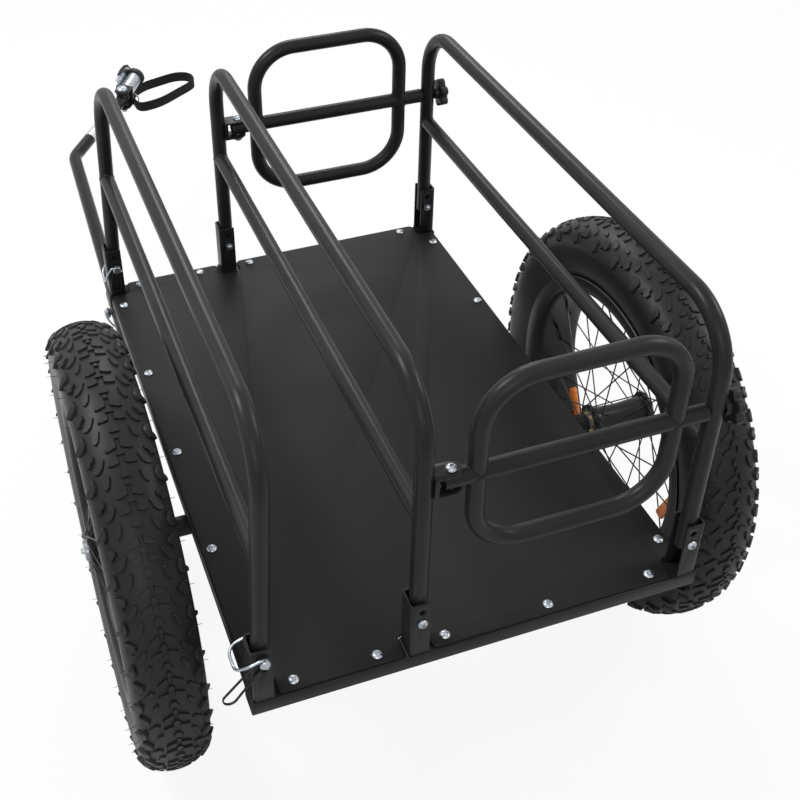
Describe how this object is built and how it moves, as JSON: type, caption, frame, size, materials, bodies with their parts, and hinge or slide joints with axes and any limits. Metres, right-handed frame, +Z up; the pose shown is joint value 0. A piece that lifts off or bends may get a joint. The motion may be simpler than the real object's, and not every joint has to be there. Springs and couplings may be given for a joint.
{
  "type": "cargo bike trailer",
  "caption": "Flat-deck cargo bike trailer with fat tyres, hoop side rails, swing gates at front and rear, and a bent tow bar with a swivelling hitch.",
  "frame": {"origin": "centre of the deck panel's top face", "axes": "+Z up out of the deck, +Y forward along the deck towards the hitch, +X to the right"},
  "size_m": [0.836, 1.6808, 0.7077],
  "materials": {
    "powder_coat": "satin black powder coat",
    "deck": "satin black",
    "zinc": "bright zinc plate",
    "plastic": "matte black",
    "rubber": "matte black rubber",
    "alloy": "black anodised",
    "bearing": "satin",
    "webbing": "woven"
  },
  "bodies": {
    "trailer": {"frame_front_tube": "powder_coat", "frame_rear_tube": "powder_coat", "frame_left_tube": "powder_coat", "frame_right_tube": "powder_coat", "frame_cross_front": "powder_coat", "frame_cross_rear": "powder_coat", "end_plug_front_left": "plastic", "end_plug_front_right": "plastic", "end_plug_rear_left": "plastic", "end_plug_rear_right": "plastic", "axle_cross_tube": "powder_coat", "deck_panel": "deck", "foot_bracket_left_front": "powder_coat", "foot_bracket_left_rear": "powder_coat", "foot_bracket_middle_front": "powder_coat", "foot_bracket_middle_rear": "powder_coat", "foot_bracket_right_front": "powder_coat", "foot_bracket_right_rear": "powder_coat", "foot_bolt_middle_front": "zinc", "foot_bolt_middle_rear": "zinc", "foot_bolt_right_front": "zinc", "foot_bolt_right_rear": "zinc", "rail_left": "powder_coat", "rail_middle": "powder_coat", "rail_right": "powder_coat", "lock_pin_left_front": "zinc", "lock_pin_left_rear": "zinc", "lock_pin_tow": "zinc", "pin_tether_left_front": "plastic", "pin_tether_left_rear": "plastic", "pin_tether_tow": "plastic", "gate_bolt_front": "zinc", "gate_bolt_rear": "zinc", "tow_sleeve": "powder_coat", "tow_bar": "powder_coat", "hitch_pin": "zinc", "axle_left": "zinc", "axle_right": "zinc"},
    "wheel_left": {"tyre_left": "rubber", "rim_left": "alloy", "hub_left": "alloy", "bearing_inner_left": "bearing", "bearing_outer_left": "bearing"},
    "button_left": {"axle_button_left": "zinc"},
    "wheel_right": {"tyre_right": "rubber", "rim_right": "alloy", "hub_right": "alloy", "bearing_inner_right": "bearing", "bearing_outer_right": "bearing"},
    "button_right": {"axle_button_right": "zinc"},
    "gate_front": {"gate_front": "powder_coat"},
    "knob_front": {"star_knob_front": "plastic"},
    "bail_left_front": {"pin_bail_left_front": "zinc"},
    "gate_rear": {"gate_rear": "powder_coat"},
    "knob_rear": {"star_knob_rear": "plastic"},
    "bail_left_rear": {"pin_bail_left_rear": "zinc"},
    "bail_tow": {"pin_bail_tow": "zinc"},
    "coupler": {"hitch_coupler": "powder_coat", "strap_ring": "zinc", "safety_strap": "webbing"}
  },
  "joints": [
    {"name": "wheel_left_spin", "type": "hinge", "parent": "trailer", "child": "wheel_left", "pos_m": [-0.361, -0.1, -0.0375], "axis": [1, 0, 0], "continuous": true},
    {"name": "button_left_press", "type": "slide", "parent": "trailer", "child": "button_left", "axis": [1, 0, 0], "range_m": [0, 0.003], "stiffness_N_per_m": 1200, "springref_m": -0.002},
    {"name": "wheel_right_spin", "type": "hinge", "parent": "trailer", "child": "wheel_right", "pos_m": [0.361, -0.1, -0.0375], "axis": [1, 0, 0], "continuous": true},
    {"name": "button_right_press", "type": "slide", "parent": "trailer", "child": "button_right", "axis": [-1, 0, 0], "range_m": [0, 0.003], "stiffness_N_per_m": 1200, "springref_m": -0.002},
    {"name": "gate_front_swing", "type": "hinge", "parent": "trailer", "child": "gate_front", "pos_m": [-0.05, 0.4065, 0.252], "axis": [0, 0, 1], "range_deg": [-88, 105]},
    {"name": "knob_front_turn", "type": "hinge", "parent": "trailer", "child": "knob_front", "pos_m": [0.286, 0.4065, 0.252], "axis": [1, 0, 0], "continuous": true},
    {"name": "gate_rear_swing", "type": "hinge", "parent": "trailer", "child": "gate_rear", "pos_m": [-0.05, -0.4065, 0.252], "axis": [0, 0, -1], "range_deg": [-88, 105]},
    {"name": "knob_rear_turn", "type": "hinge", "parent": "trailer", "child": "knob_rear", "pos_m": [0.286, -0.4065, 0.252], "axis": [1, 0, 0], "continuous": true},
    {"name": "bail_left_front_swing", "type": "hinge", "parent": "trailer", "child": "bail_left_front", "pos_m": [-0.2647, 0.385, 0.051], "axis": [-0.809, 0, 0.5878], "range_deg": [0, 100]},
    {"name": "bail_left_rear_swing", "type": "hinge", "parent": "trailer", "child": "bail_left_rear", "pos_m": [-0.2647, -0.428, 0.069], "axis": [-0.342, 0, 0.9397], "range_deg": [0, 100]},
    {"name": "bail_tow_swing", "type": "hinge", "parent": "trailer", "child": "bail_tow", "pos_m": [-0.28916, 0.40069, -0.038], "axis": [0.0323, 0.9995, 0], "range_deg": [0, 100]},
    {"name": "coupler_yaw", "type": "hinge", "parent": "trailer", "child": "coupler", "pos_m": [-0.11111, 1.14648, -0.038], "axis": [0, 0, 1], "range_deg": [-40, 50]}
  ]
}
